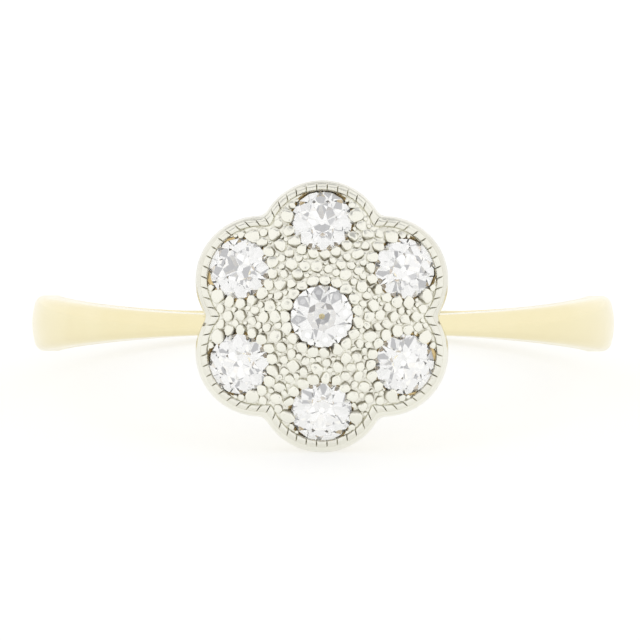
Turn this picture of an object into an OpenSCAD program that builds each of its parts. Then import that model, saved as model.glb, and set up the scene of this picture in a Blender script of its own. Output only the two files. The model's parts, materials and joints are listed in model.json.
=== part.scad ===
// Daisy cluster ring: a domed six-petal face of white metal with seven bead-set round stones,
// on a yellow gold band whose shoulders narrow towards the head.
// The ring is drawn upright, with the finger along Y, the face towards +Z and the finger's centre
// at the origin. It is then laid on its side, on the rim of one petal and the back of the band.

/* [Finger] */
// Radius of the finger hole
finger_r = 8.85; // [7.5:0.05:10.5]

/* [Band] */
// Thickness of the band at its back and sides
band_t = 1; // [0.9:0.05:1.8]
// Half the width of the band at its sides
band_half_w = 0.94; // [0.8:0.01:1.3]
// Half the width of the band at its back
back_half_w = 0.4; // [0.35:0.01:0.9]
// Radius of the band's rounded outer edges
band_edge_r = 0.28; // [0.15:0.01:0.35]
// Radius of the crowned outside, across the band
band_crown_r = 2.5; // [2:0.1:6]
// Half the width of a shoulder where it meets the head
shoulder_half_w = 0.34; // [0.3:0.01:0.5]
// Angle above the ring's middle at which the shoulders start to narrow
shoulder_start = 3; // [0:1:30]
// Angle below the ring's middle at which the band starts to narrow towards its back
back_start = 0; // [0:1:30]
// Height of a shoulder's top above the face plate's underside
shoulder_lap = 0.3; // [0.1:0.01:0.4]

/* [Gallery] */
// Height of the gallery between the finger and the face plate
gallery_h = 1.05; // [0.9:0.05:2]
// Step of the gallery inside the face plate's outline
gallery_inset = 0.2; // [0.1:0.01:0.3]
// Step of the gallery's underside above the finger, where only the band touches
gallery_relief = 0.15; // [0.1:0.01:0.3]
// Radius of the light well under each stone
well_r = 0.75; // [0.65:0.01:0.8]
// Gap between the gallery and the face plate
solder_gap = 0.02; // [0.01:0.01:0.05]

/* [Face plate] */
// Thickness of the plate at its middle
plate_t = 1.25; // [1.1:0.05:1.6]
// Radius of the domed face
dome_r = 12; // [11:0.5:16]
// Distance from the middle of the face to the centre of each petal
petal_c = 2.34; // [2.2:0.01:2.6]
// Radius of each petal at the plate's underside
petal_r = 2.12; // [2:0.01:2.4]
// Angle over which each notch between two petals is rounded, seen from the middle
notch_round = 3; // [2:0.5:6]
// Slope of the plate's outer wall, in degrees from upright
rim_draft = 6; // [4:0.5:9]
// How far the head sits off the band's middle, along the finger
head_shift = 0.28; // [0:0.01:0.35]

/* [Stones] */
// Radius of the middle stone at its girdle
middle_stone_r = 1.03; // [0.85:0.01:1.1]
// Radius of the petals' stones at their girdles
petal_stone_r = 1; // [0.85:0.01:1.05]
// Metal between a petal's stone and the tip of the petal
stone_margin = 0.32; // [0.3:0.01:0.4]
// Depth of the girdles below the face
girdle_sink = 0.05; // [0.03:0.01:0.08]
// Gap between a stone and its seat
seat_gap = 0.025; // [0.015:0.005:0.04]
// Width of the ledge under each stone's edge
seat_ledge = 0.38; // [0.3:0.01:0.45]

/* [Grains and millegrain] */
// Radius of the raised grains
grain_r = 0.2; // [0.17:0.005:0.21]
// Radius of the two grains that hold each petal's stone
corner_grain_r = 0.26; // [0.22:0.01:0.28]
// Depth of the grains' centres below the face
grain_sink = 0.08; // [0.04:0.01:0.1]
// Spacing of the grains in the field between the stones
grain_pitch = 0.38; // [0.36:0.01:0.5]
// Least distance between two grains
grain_spacing = 0.34; // [0.33:0.01:0.4]
// Radius of the millegrain beads
bead_r = 0.12; // [0.1:0.005:0.13]
// Spacing of the millegrain beads
bead_pitch = 0.282; // [0.26:0.002:0.32]
// Distance of the bead row inside the petals' outline
bead_inset = 0.19; // [0.16:0.01:0.22]

/* [Hidden] */
$fn = 72;
PETALS = 6;
PETAL_STONES = [for (i = [1:PETALS]) str("stone_", i)];

// Proportions of an old-cut brilliant, as shares of its girdle radius: a small table, short lower
// halves and an open culet
table_share = 0.48;
star_share = 0.72;
crown_share = 0.3;
girdle_share = 0.05;
pavilion_share = 0.84;
half_share = 0.55;
culet_share = 0.09;
// Slope of the lower halves, which are a stone's steepest facets below the girdle
half_slope = pavilion_share * (1 - half_share * cos(22.5)) / (1 - culet_share) / (1 - half_share);
// Angle between a petal's axis and the grains that hold its stone, seen from the stone
CORNER_TURN = 84;
// Distance of a petal's last beads from the line between two petals, as a share of their radius
bead_stop = 1.06;
// Turn of each stone about its own axis, the middle one first
STONE_SPIN = [8, 3, 31, 17, 40, 12, 26];

// Levels and places of the head
plate_z = finger_r + gallery_h;
dome_z = plate_z + plate_t - dome_r;
stone_ring = petal_c + petal_r - stone_margin - petal_stone_r;
stone_tilt = asin(stone_ring / dome_r);
petal_angles = [for (i = [0:PETALS - 1]) 90 + 360 / PETALS * i];
// Every stone as [radius, tilt from the face's axis, direction of the tilt]
STONES = concat([[middle_stone_r, 0, 0]], [for (a = petal_angles) [petal_stone_r, stone_tilt, a]]);
bead_row_r = petal_r - bead_inset;

// Shoulders: where they meet the head, as an angle above the middle and a radius
band_r = finger_r + band_t;
notch_x = outline_radius(0);
shoulder_end = atan2(plate_z + shoulder_lap, notch_x);
shoulder_r = norm([plate_z + shoulder_lap, notch_x]);
// Angle below the middle from which the back of the band keeps one width
back_end = 58;
// How late the shoulders rise from the band to the head, as a power of the way there
shoulder_rise = 3;
BAND_SECTIONS = 72;
OUTLINE_POINTS = 120;
ARC_STEPS = 4;

// How the ring lies: the floor touches the rim of the lowest petal and the back of the band
back_edge = [-edge_centre(back_half_w, band_r), corner_radius(back_half_w) - back_half_w];
petal_rim = [plate_z, head_shift - petal_c - petal_r];
rest_span = petal_rim - back_edge;
rest_tilt = atan2(-rest_span.y, rest_span.x) - asin(corner_radius(back_half_w) / norm(rest_span));
rest_z = -petal_rim.y * cos(rest_tilt) - petal_rim.x * sin(rest_tilt);
table_top = plate_z + plate_t - girdle_sink + crown_share * middle_stone_r;
front_y = (head_shift - table_share * middle_stone_r) * sin(rest_tilt) - table_top * cos(rest_tilt);
back_y = band_r * cos(rest_tilt) + back_half_w * sin(rest_tilt) / 2;

// How far an angle lies between two others, from 0 to 1
function share_of(x, from, to) = min(1, max(0, (x - from) / (to - from)));
function corner_radius(half_w) = min(band_edge_r, half_w / 2);
function crown_lean(half_w) =
    let (edge = corner_radius(half_w)) asin((half_w - edge) / (band_crown_r - edge));
function edge_centre(half_w, outer) =
    outer - band_crown_r + (band_crown_r - corner_radius(half_w)) * cos(crown_lean(half_w));

// The band narrows along a curve halfway between a straight line and a smooth step. Its angles are
// measured above the ring's middle, up to the head, and below it, down to the back
function narrowing(u) = (u + u * u * (3 - 2 * u)) / 2;
function half_width(above) =
    above > 0
    ? band_half_w
        + (shoulder_half_w - band_half_w) * narrowing(share_of(above, shoulder_start, shoulder_end))
    : band_half_w + (back_half_w - band_half_w) * narrowing(share_of(-above, back_start, back_end));
function outer_radius(above) =
    band_r + (shoulder_r - band_r) * pow(share_of(above, shoulder_start, shoulder_end), shoulder_rise);

// One D section of the band as [distance from the finger's axis, place along it] points
function d_section(half_w, outer) =
    let (
        edge = corner_radius(half_w),
        inner = finger_r - 0.2,
        lean = crown_lean(half_w),
        edge_arc = [for (i = [0:ARC_STEPS]) let (a = (90 - lean) * i / ARC_STEPS)
            [edge_centre(half_w, outer) + edge * sin(a), half_w - edge + edge * cos(a)]],
        crown = [for (i = [1:ARC_STEPS - 1]) let (a = lean * (1 - 2 * i / ARC_STEPS))
            [outer - band_crown_r * (1 - cos(a)), band_crown_r * sin(a)]],
        mirrored = [for (i = [ARC_STEPS:-1:0]) [edge_arc[i].x, -edge_arc[i].y]]
    )
    concat([[inner, half_w]], edge_arc, crown, mirrored, [[inner, -half_w]]);

// The band: D sections swept once round the finger, wide at its sides, narrow at the back and
// at the head
module band() {
    turns = [for (i = [0:BAND_SECTIONS - 1]) 360 * i / BAND_SECTIONS];
    sections = [for (t = turns) let (above = (t > 180 ? 360 - t : t) - 90)
        [for (p = d_section(half_width(above), outer_radius(above)))
            [p.x * sin(t), p.y, -p.x * cos(t)]]];
    n = len(sections[0]);
    faces = [for (i = [0:BAND_SECTIONS - 1], j = [0:n - 1])
        let (k = (i + 1) % BAND_SECTIONS, m = (j + 1) % n)
        each [[i * n + j, k * n + m, k * n + j], [i * n + j, i * n + m, k * n + m]]];
    polyhedron([for (s = sections) each s], faces);
}

// Places a child at a stone, square to the dome and turned with the stone. The face is its z = 0
module at_stone(i) {
    tilt = STONES[i][1];
    direction = STONES[i][2];
    translate([0, 0, dome_z]) rotate([0, tilt, direction]) translate([0, 0, dome_r])
        rotate([0, 0, STONE_SPIN[i]]) children();
}

// Outline of the head in plan, as a radius: six arcs, with each notch between them rounded
function arc_radius(a) = petal_c * cos(a) + sqrt(petal_r ^ 2 - (petal_c * sin(a)) ^ 2);
function arc_slope(a) = (arc_radius(a + 0.5) - arc_radius(a - 0.5));
function outline_radius(a) =
    let (
        from_tip = abs((a + 90 + 360) % 60 - 30),
        off = 30 - from_tip,
        notch = max(0, off - (30 - notch_round))
    )
    arc_radius(min(off, 30 - notch_round))
    + arc_slope(30 - notch_round) * (notch - notch ^ 2 / (2 * notch_round));

// A six-petal solid between two rings of [level, growth of the outline, share of its size]. Its ends
// are fans of triangles round their middles
module petal_loft(rings) {
    turns = [for (i = [0:OUTLINE_POINTS - 1]) 360 * i / OUTLINE_POINTS];
    n = OUTLINE_POINTS;
    points = [for (ring = rings, t = turns) let (r = (outline_radius(t) + ring[1]) * ring[2])
        [r * cos(t), r * sin(t), ring[0]]];
    middles = [for (ring = rings) [0, 0, ring[0]]];
    faces = [for (i = [0:n - 1]) let (j = (i + 1) % n)
        each [[i, n + i, j], [j, n + i, n + j], [2 * n, i, j], [n + j, n + i, 2 * n + 1]]];
    polyhedron(concat(points, middles), faces);
}

// The face plate's sides, which lean in towards the top
module plate_sides(grow, z_low, z_high) {
    petal_loft([for (z = [z_low, z_high]) [z, grow - (z - plate_z) * tan(rim_draft), 1]]);
}

// The gold basket under the plate, whose walls lean in towards the centre of the dome
module gallery() {
    levels = [finger_r * 0.75, plate_z + shoulder_lap];
    difference() {
        petal_loft([for (z = levels) [z, -gallery_inset, (z - dome_z) / (plate_z - dome_z)]]);
        finger(gallery_relief);
    }
}

// The space of the finger, with a step outside it
module finger(step) {
    rotate([90, 0, 0]) cylinder(h = 4 * petal_c + 4 * petal_r, r = finger_r + step, center = true);
}

// The seat cut for a stone: crown, girdle and pavilion with the gap all round, and a light hole
module seat(stone_r) {
    girdle_top = -girdle_sink;
    girdle_low = girdle_top - girdle_share * stone_r;
    hole_r = stone_r - seat_ledge;
    rim = stone_r + seat_gap;
    rotate_extrude() polygon([
        [0, 1],
        [table_share * stone_r + seat_gap, 1],
        [table_share * stone_r + seat_gap, girdle_top + crown_share * stone_r + seat_gap],
        [rim, girdle_top + seat_gap],
        [rim, girdle_low - seat_gap],
        [hole_r, girdle_low - seat_gap - (rim - hole_r) * half_slope],
        [hole_r, -plate_t * 2],
        [0, -plate_t * 2]]);
}

// Millegrain: a row of beads along each petal's edge, stopping short of its neighbours' beads
module millegrain() {
    reach = 120 - acos((petal_c / 2 - bead_r * bead_stop) / bead_row_r);
    steps = floor(2 * reach / (bead_pitch / bead_row_r * 180 / PI) + 0.5);
    for (a = petal_angles, i = [0:steps])
        let (turn = a - reach + 2 * reach * i / steps, centre = petal_c * [cos(a), sin(a)])
        translate(dome_point(centre + bead_row_r * [cos(turn), sin(turn)])) sphere(r = bead_r);
}

// Point of the domed face above a place in plan
function dome_point(p) = [p.x, p.y, dome_z + sqrt(dome_r ^ 2 - p.x ^ 2 - p.y ^ 2)];
function stone_axis(s) = [sin(s[1]) * cos(s[2]), sin(s[1]) * sin(s[2]), cos(s[1])];
// Distance of a place from the nearest stone's edge, along the face
function off_stones(p) = min([for (s = STONES)
    norm(cross(dome_point(p) - [0, 0, dome_z], stone_axis(s))) - s[0]]);
// Distance of a place inside the bead row
function in_beads(p) = bead_row_r - bead_r
    - min([for (a = petal_angles) norm(p - petal_c * [cos(a), sin(a)])]);

// Grains are set first at the petals' stones, then round every stone and over the field. Each keeps
// clear of those before it
grain_foot = sqrt(grain_r ^ 2 - grain_sink ^ 2);
corner_foot = sqrt(corner_grain_r ^ 2 - grain_sink ^ 2);
function stone_place(s) = [stone_axis(s).x, stone_axis(s).y] * dome_r;
CORNERS = [for (s = STONES, turn = [-CORNER_TURN, CORNER_TURN]) if (s[1] > 0)
    stone_place(s) + (s[0] + corner_foot / 2) * [cos(s[2] + turn), sin(s[2] + turn)]];
function ring_places(centre, radius, count) = [for (i = [0:count - 1])
    centre + radius * [cos(360 * (i + 0.5) / count), sin(360 * (i + 0.5) / count)]];
stone_count = floor(2 * PI * (petal_stone_r + grain_foot) / grain_pitch);
ROUND_STONES = [for (s = STONES) each ring_places(stone_place(s), s[0] + 0.75 * grain_foot, stone_count)];
field_steps = ceil((petal_c + petal_r) / grain_pitch);
// How far the field's grains stray from even rows, as a share of their spacing
grain_stray = 0.12;
FIELD = [for (j = [-field_steps:field_steps], i = [-field_steps:field_steps])
    grain_pitch * [
        i + (j % 2) / 2 + grain_stray * sin(137 * i + 61 * j),
        (j + grain_stray * sin(89 * i + 151 * j)) * cos(30)]];
function free_of(p, kept) = min([for (k = kept) norm(p - k)]) >= grain_spacing;
function keep_apart(places, kept, i = 0) =
    i == len(places) ? kept
    : keep_apart(places, free_of(places[i], kept) ? concat(kept, [places[i]]) : kept, i + 1);
GRAINS = keep_apart([for (p = concat(ROUND_STONES, FIELD))
    if (off_stones(p) > 0.65 * grain_foot && in_beads(p) > grain_foot) p], CORNERS);

module grains() {
    for (i = [0:len(GRAINS) - 1])
        translate(dome_point(GRAINS[i]) - [0, 0, grain_sink])
            sphere(r = i < len(CORNERS) ? corner_grain_r : grain_r * (0.95 + 0.05 * sin(97 * i)));
}

function circle_points(radius, z, count, start) = [for (i = [0:count - 1])
    [radius * cos(start + 360 * i / count), radius * sin(start + 360 * i / count), z]];

// An old-cut brilliant: table, eight stars, kites and mains, sixteen halves above and below the
// girdle, and a small flat culet
module brilliant(stone_r) {
    crown_h = crown_share * stone_r;
    depth = pavilion_share * stone_r;
    star_z = crown_h * (1 - star_share * cos(22.5)) / (1 - table_share);
    half_z = -depth * (1 - half_share * cos(22.5)) / (1 - culet_share);
    girdle_low = -girdle_share * stone_r;
    points = concat(
        circle_points(table_share * stone_r, crown_h, 8, 0),
        circle_points(star_share * stone_r, star_z, 8, 22.5),
        circle_points(stone_r, 0, 16, 0),
        circle_points(stone_r, girdle_low, 16, 0),
        circle_points(half_share * stone_r, girdle_low + half_z, 8, 22.5),
        circle_points(culet_share * stone_r / cos(22.5), girdle_low - depth, 8, 22.5));
    star = 8;
    top = 16;
    low = 32;
    half = 48;
    culet = 56;
    faces = concat(
        [[for (k = [7:-1:0]) k], [for (k = [0:7]) culet + k]],
        [for (k = [0:7]) let (n = (k + 1) % 8, p = (k + 7) % 8) each [
            [k, n, star + k],
            [k, star + k, top + 2 * k, star + p],
            [star + k, top + 2 * k + 1, top + 2 * k],
            [star + k, top + (2 * k + 2) % 16, top + 2 * k + 1],
            [half + k, low + 2 * k, low + 2 * k + 1],
            [half + k, low + 2 * k + 1, low + (2 * k + 2) % 16],
            [low + 2 * k, half + k, culet + k, culet + p, half + p]]],
        [for (i = [0:15]) let (n = (i + 1) % 16) [top + i, top + n, low + n, low + i]]);
    polyhedron(points, faces);
}

// The upright ring laid on its side, its lowest points on the floor and its middle over the origin
module lay_down() {
    translate([0, -(front_y + back_y) / 2, rest_z]) rotate([90 - rest_tilt, 0, 0]) children();
}

// The head's place along the finger
module on_head() {
    translate([0, head_shift, 0]) children();
}

module shank() {
    color("palegoldenrod") lay_down() difference() {
        union() {
            difference() {
                band();
                finger(0);
            }
            on_head() gallery();
        }
        on_head() plate_sides(solder_gap, plate_z - solder_gap, plate_z + 2 * plate_t);
        for (i = [0:PETALS]) on_head() at_stone(i) translate([0, 0, -2 * gallery_h - 2 * plate_t])
            cylinder(h = 2 * gallery_h + 2 * plate_t, r = well_r);
    }
}

module cluster_head() {
    color("gainsboro") lay_down() on_head() difference() {
        union() {
            intersection() {
                plate_sides(0, plate_z, plate_z + 1.5 * plate_t);
                translate([0, 0, dome_z]) sphere(r = dome_r);
            }
            millegrain();
            grains();
        }
        for (i = [0:PETALS]) at_stone(i) seat(STONES[i][0]);
    }
}

module stone(i) {
    color("white") lay_down() on_head() at_stone(i) translate([0, 0, -girdle_sink])
        brilliant(STONES[i][0]);
}

shank();
cluster_head();
stone(0);  // stone_center
for (i = [1:PETALS]) stone(i);
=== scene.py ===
"""Daisy cluster ring: polished gold band and gallery, platinum face with raised grains and a
millegrain edge, and seven clear old-cut stones. New pieces are surfaces worked out with numpy.

Shapes are worked out upright, in metres: X across the ring, Y along the finger, Z up through the
face, with the finger's centre at the origin. lay_down() then puts them where the frame has them.
"""
import json

import bmesh
import bpy
import numpy as np
from bpy.props import FloatProperty, FloatVectorProperty, IntProperty, PointerProperty
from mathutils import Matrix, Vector


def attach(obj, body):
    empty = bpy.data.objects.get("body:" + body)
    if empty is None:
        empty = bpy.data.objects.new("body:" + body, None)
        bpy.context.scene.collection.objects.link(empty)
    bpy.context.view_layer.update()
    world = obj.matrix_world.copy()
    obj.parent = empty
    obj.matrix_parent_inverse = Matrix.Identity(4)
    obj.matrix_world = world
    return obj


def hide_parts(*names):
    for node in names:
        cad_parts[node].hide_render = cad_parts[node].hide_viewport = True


bl_info = {
    "name": "Daisy Cluster Ring",
    "version": (1, 0, 0),
    "blender": (4, 5, 0),
    "location": "3D View > Sidebar > Ring",
    "description": "Makes a daisy cluster ring with a grained face on a gold band",
    "category": "Add Mesh",
}

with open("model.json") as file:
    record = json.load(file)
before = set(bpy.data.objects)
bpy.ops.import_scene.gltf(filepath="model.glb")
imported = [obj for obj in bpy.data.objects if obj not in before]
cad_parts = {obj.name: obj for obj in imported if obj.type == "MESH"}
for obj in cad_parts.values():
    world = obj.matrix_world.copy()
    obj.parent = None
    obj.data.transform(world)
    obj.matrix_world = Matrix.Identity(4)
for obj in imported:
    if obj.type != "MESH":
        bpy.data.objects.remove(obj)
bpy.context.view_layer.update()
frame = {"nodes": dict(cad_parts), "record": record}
MM = 0.001
PETALS = 6
SIXTH = np.pi / 3
STONE_NODES = ["stone_center"] + [f"stone_{i + 1}" for i in range(PETALS)]
# Turn over which a notch between petals is rounded, on each side of it
NOTCH_ROUND = np.radians(3)
# Angles from the band's sides at which it starts to narrow, up to the head and down to the back
SHOULDER_START, BACK_START, BACK_END = np.radians(3), 0.0, np.radians(58)
# Softened inner edges of the band, and the solder between gallery and plate
INNER_EDGE, SOLDER_GAP = 0.12 * MM, 0.02 * MM
# How far the plate's wall leans in, and how far below the dome its bevel starts
WALL_LEAN, BEVEL_DROP = 0.045 * MM, 0.09 * MM
# Which way each seat lies off its stone, and its gap as a share of the usual one
SEAT_WAYS = np.radians([180, 90, 190, 150, 215, 10, 45])
SEAT_LOOSE = np.array([1, 1, 1.5, 1, 1, 1.2, 1])
# Depths of the cuts between the beads and of the pits that the solder left in the plate's edge
CUT_DEPTH, PIT_DEPTH = 0.012 * MM, 0.15 * MM
PIT_PLACES = np.array([[-3.86, -0.27], [3.86, -0.2]]) * MM

# The finger bore gives the ring's place in the frame: its centre, its axis and the way up the face
BORE = next(m for m in frame["record"]["mounts"] if m["name"] == "finger_bore")
RING_CENTRE = np.array(BORE["pos_m"])
FINGER_AXIS = np.array(BORE["axis"])
ACROSS = np.array([1.0, 0.0, 0.0])
FACE_AXIS = np.cross(ACROSS, FINGER_AXIS)
FINGER_R = BORE["dims"]["r_mm"] * MM


def length(name, description, default_mm):
    """A length property whose default is given in millimetres."""
    return FloatProperty(
        name=name, description=description, default=default_mm * MM, unit="LENGTH", precision=5)


def colour(name, description, hex_value):
    """A colour property whose default is an sRGB hex value."""
    return FloatVectorProperty(
        name=name, description=description, default=linear(hex_value), subtype="COLOR", size=3)


def linear(hex_value):
    """Linear red, green and blue of an sRGB hex value."""
    srgb = np.array([int(hex_value[i:i + 2], 16) for i in (1, 3, 5)]) / 255
    low, high = srgb / 12.92, ((srgb + 0.055) / 1.055) ** 2.4
    return tuple(float(c) for c in np.where(srgb <= 0.04045, low, high))


class BandSizes(bpy.types.PropertyGroup):
    """The gold band and its narrowing shoulders."""
    thickness: length("Thickness", "Metal of the band at its back and sides", 1)
    side_half: length("Side half width", "Half the band's width at its sides", 0.94)
    back_half: length("Back half width", "Half the band's width at its back", 0.4)
    head_half: length("Shoulder half width", "Half a shoulder's width at the head", 0.34)
    edge_r: length("Edge radius", "Radius of the rounded outer edges", 0.36)
    crown_r: length("Crown radius", "Radius of the crowned outside, across the band", 2.5)
    lap: length("Shoulder lap", "Height of a shoulder's top above the plate's underside", 0.3)


class HeadSizes(bpy.types.PropertyGroup):
    """The platinum plate and the gold gallery under it."""
    gallery_h: length("Gallery height", "Gold between the finger and the plate", 1.05)
    gallery_inset: length("Gallery inset", "Step of the gallery inside the plate", 0.2)
    relief: length("Gallery relief", "Step of the gallery's underside above the finger", 0.15)
    well_r: length("Light well", "Radius of the hole under each stone", 0.75)
    plate_t: length("Plate thickness", "Thickness of the plate at its middle", 1.25)
    dome_r: length("Dome radius", "Radius of the domed face", 12)
    petal_c: length("Petal distance", "From the face's middle to each petal's centre", 2.34)
    petal_r: length("Petal radius", "Radius of each petal", 2.12)
    shift: length("Head shift", "How far the head sits off the band's middle", 0.28)
    field_sink: length("Field sink", "Depth of the field below the dome", 0.06)


class EdgeSizes(bpy.types.PropertyGroup):
    """The millegrain edge of the plate."""
    beads: IntProperty(name="Beads", description="Beads round each petal", default=13, min=6)
    height: length("Bead height", "Height of the beads above the dome", 0.1)
    width: length("Bead width", "Width of the bead row", 0.24)
    bevel_top: length("Bevel at top", "Smooth bevel outside the beads, on the top petal", 0.05)
    bevel: length("Bevel elsewhere", "Smooth bevel outside the beads, on the others", 0.12)


class StoneSizes(bpy.types.PropertyGroup):
    """The seven brilliants and their seats."""
    middle_r: length("Middle stone", "Girdle radius of the middle stone", 1.03)
    petal_r: length("Petal stones", "Girdle radius of the other stones", 1.0)
    margin: length("Margin", "Metal between a petal's stone and its tip", 0.32)
    gap: length("Seat gap", "Gap between a stone and its seat", 0.045)
    shift: length("Seat shift", "How far a seat lies off its stone's middle", 0.04)


class GrainSizes(bpy.types.PropertyGroup):
    """The raised grains of the field."""
    radius: length("Grain radius", "Mean radius of a grain", 0.183)
    pitch: length("Grain pitch", "Spacing of the grains over the field", 0.38)
    spacing: length("Least spacing", "Least distance between two grains", 0.34)
    height: length("Grain height", "Height of a grain above the dome", 0.09)
    corner_r: length("Corner grain", "Radius of the grains that hold the petals' stones", 0.247)
    least: length("Least grain", "Radius of the smallest low grains between the others", 0.055)


class RingColours(bpy.types.PropertyGroup):
    """The finishes."""
    gold: colour("Gold", "Polished 18 carat yellow gold", "#F0E7C4")
    gold_deep: colour("Deep gold", "Gold where it is less polished", "#ECE1B8")
    platinum: colour("Platinum", "Polished platinum", "#F0F0E7")
    platinum_warm: colour("Warm platinum", "Platinum that reflects the gold near it", "#ECEADF")
    # Painted shade over tarnished metal: the colour mixed in along cuts, grooves, grain feet and
    # pits
    shade_and_tarnish: colour("Recess", "Tarnish in the cuts between grains", "#857D6A")
    seat: colour("Seat gold", "Unpolished gold deep in the seats", "#C39A4C")
    floor: colour("Floor", "Pale floor", "#A8A8A6")


class StudioSizes(bpy.types.PropertyGroup):
    """The camera and the light tent."""
    distance: length("Camera distance", "From the camera to the ring's centre", 311)
    elevation: FloatProperty(
        name="Elevation", description="Camera above the band's plane", default=np.radians(0.26),
        subtype="ANGLE")
    azimuth: FloatProperty(
        name="Azimuth", description="Camera to the right of the face", default=np.radians(0.26),
        subtype="ANGLE")
    picture_w: length("Picture width", "Width of the picture at the ring's centre", 21.68)
    aim_left: length("Aim left", "How far the camera looks left of the ring's centre", 0.108)
    aim_up: length("Aim up", "How far the camera looks above the ring's centre", 0.112)
    tent: FloatProperty(name="Tent", description="Brightness of the white tent", default=1.1)
    opening: length("Opening", "Half the width of the dark opening round the camera", 22)


class RingSettings(bpy.types.PropertyGroup):
    """Every size and colour of the ring."""
    band: PointerProperty(type=BandSizes)
    head: PointerProperty(type=HeadSizes)
    edge: PointerProperty(type=EdgeSizes)
    stones: PointerProperty(type=StoneSizes)
    grains: PointerProperty(type=GrainSizes)
    colours: PointerProperty(type=RingColours)
    studio: PointerProperty(type=StudioSizes)


# Shapes in common

def lay_down(points):
    """Points of the upright ring, put where the frame has them."""
    return RING_CENTRE + np.asarray(points) @ np.stack([ACROSS, FINGER_AXIS, FACE_AXIS])


def smooth_step(x, low, high):
    """0 below low, 1 above high, and a smooth S between."""
    t = np.clip((x - low) / (high - low), 0, 1)
    return t * t * (3 - 2 * t)


def grid_quads(rows, columns, wrap_rows=False, wrap_columns=False):
    """The quads between neighbouring points of a rows by columns grid of points."""
    r = np.arange(rows if wrap_rows else rows - 1)[:, None]
    c = np.arange(columns if wrap_columns else columns - 1)[None, :]
    r2, c2 = (r + 1) % rows, (c + 1) % columns
    corners = [r * columns + c, r * columns + c2, r2 * columns + c2, r2 * columns + c]
    return np.stack([q.ravel() for q in np.broadcast_arrays(*corners)], axis=1)


def repeated(quads, count, points_each):
    """The quads of count like surfaces, whose points follow one another."""
    return (quads[None] + (np.arange(count) * points_each)[:, None, None]).reshape(-1, 4)


def new_piece(name, points, quads, material, values=None, sharp_deg=40):
    """A mesh object at the origin from upright points and quads, with point values by name."""
    mesh = bpy.data.meshes.new(name)
    mesh.vertices.add(len(points))
    mesh.vertices.foreach_set("co", lay_down(points).astype(np.float32).ravel())
    mesh.loops.add(quads.size)
    mesh.loops.foreach_set("vertex_index", quads.astype(np.int32).ravel())
    mesh.polygons.add(len(quads))
    mesh.polygons.foreach_set("loop_start", np.arange(0, quads.size, 4, dtype=np.int32))
    mesh.update(calc_edges=True)
    for key, numbers in (values or {}).items():
        layer = mesh.attributes.new(key, "FLOAT", "POINT")
        layer.data.foreach_set("value", numbers.astype(np.float32).ravel())
    mesh.validate()
    mesh.set_sharp_from_angle(angle=np.radians(sharp_deg))
    mesh.materials.append(material)
    piece = bpy.data.objects.new(name, mesh)
    bpy.context.scene.collection.objects.link(piece)
    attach(piece, "root")
    return piece


# The face: its dome, its six petals and its stones

def on_head(ring, points):
    """Points of the head, moved to where it sits along the finger."""
    return points + np.array([0, ring.head.shift, 0])


def levels(ring):
    """Heights of the plate's underside and of the dome's centre."""
    plate_z = FINGER_R + ring.head.gallery_h
    return plate_z, plate_z + ring.head.plate_t - ring.head.dome_r


def dome_centre(ring):
    """Centre of the sphere that the domed face lies on."""
    return np.array([0, 0, levels(ring)[1]])


def dome_height(ring, x, y):
    """Height of the domed face: a sphere of the dome's radius."""
    return levels(ring)[1] + np.sqrt(ring.head.dome_r ** 2 - x ** 2 - y ** 2)


def arc_radius(ring, turn):
    """Distance from the face's middle to a petal's arc, at an angle from that petal's axis."""
    c, r = ring.head.petal_c, ring.head.petal_r
    return c * np.cos(turn) + np.sqrt(r ** 2 - (c * np.sin(turn)) ** 2)


def notch_fill(ring, turn):
    """Share by which the rounding of the notches moves the outline out, at an angle from a petal's
    axis. Near a notch, the arc gives way to a parabola that meets its mirror image level."""
    off = np.abs((turn + SIXTH / 2) % SIXTH - SIXTH / 2)
    edge, step = SIXTH / 2 - NOTCH_ROUND, 0.005
    slope = (arc_radius(ring, edge + step) - arc_radius(ring, edge - step)) / (2 * step)
    past = np.clip(off - edge, 0, None)
    rounded = arc_radius(ring, np.minimum(off, edge)) + slope * (past - past ** 2 / 2 / NOTCH_ROUND)
    return rounded / arc_radius(ring, off)


def petal_turns():
    """Directions of the six petals, from X towards Y. The first points along the finger."""
    return np.pi / 2 + SIXTH * np.arange(PETALS)


def off_petals(ring, places):
    """Distances in plan from places to the nearest petal's middle."""
    turns = petal_turns()
    middles = ring.head.petal_c * np.stack([np.cos(turns), np.sin(turns)], axis=1)
    return np.linalg.norm(places[:, None] - middles, axis=2).min(axis=1)


def petal_strip(ring, shares, insets):
    """Places in plan on the six petals' arcs, side by side in one closed strip. A share from -1 to
    1 is the part of the angle about a petal's centre at which its arc meets its neighbour's."""
    rho = ring.head.petal_r - insets
    reach = 2 * SIXTH - np.arccos(ring.head.petal_c / 2 / rho)
    turn = petal_turns()[None, :, None]
    about = turn + shares[None, None, :] * reach
    x = ring.head.petal_c * np.cos(turn) + rho * np.cos(about)
    y = ring.head.petal_c * np.sin(turn) + rho * np.sin(about)
    fill = notch_fill(ring, np.arctan2(y, x) - np.pi / 2)
    return x * fill, y * fill


def stone_table(ring):
    """Axis and girdle radius of every stone, the middle one first. The axes run through the dome's
    centre, and the petals' stones lie on a ring at the margin from the petals' tips."""
    size, head = ring.stones, ring.head
    ring_r = head.petal_c + head.petal_r - size.margin - size.petal_r
    tilt = np.arcsin(ring_r / head.dome_r)
    turns = petal_turns()
    axes = np.stack([np.sin(tilt) * np.cos(turns), np.sin(tilt) * np.sin(turns),
                     np.full(PETALS, np.cos(tilt))], axis=1)
    axes = np.concatenate([[[0.0, 0.0, 1.0]], axes])
    return axes, np.array([size.middle_r] + [size.petal_r] * PETALS)


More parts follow.
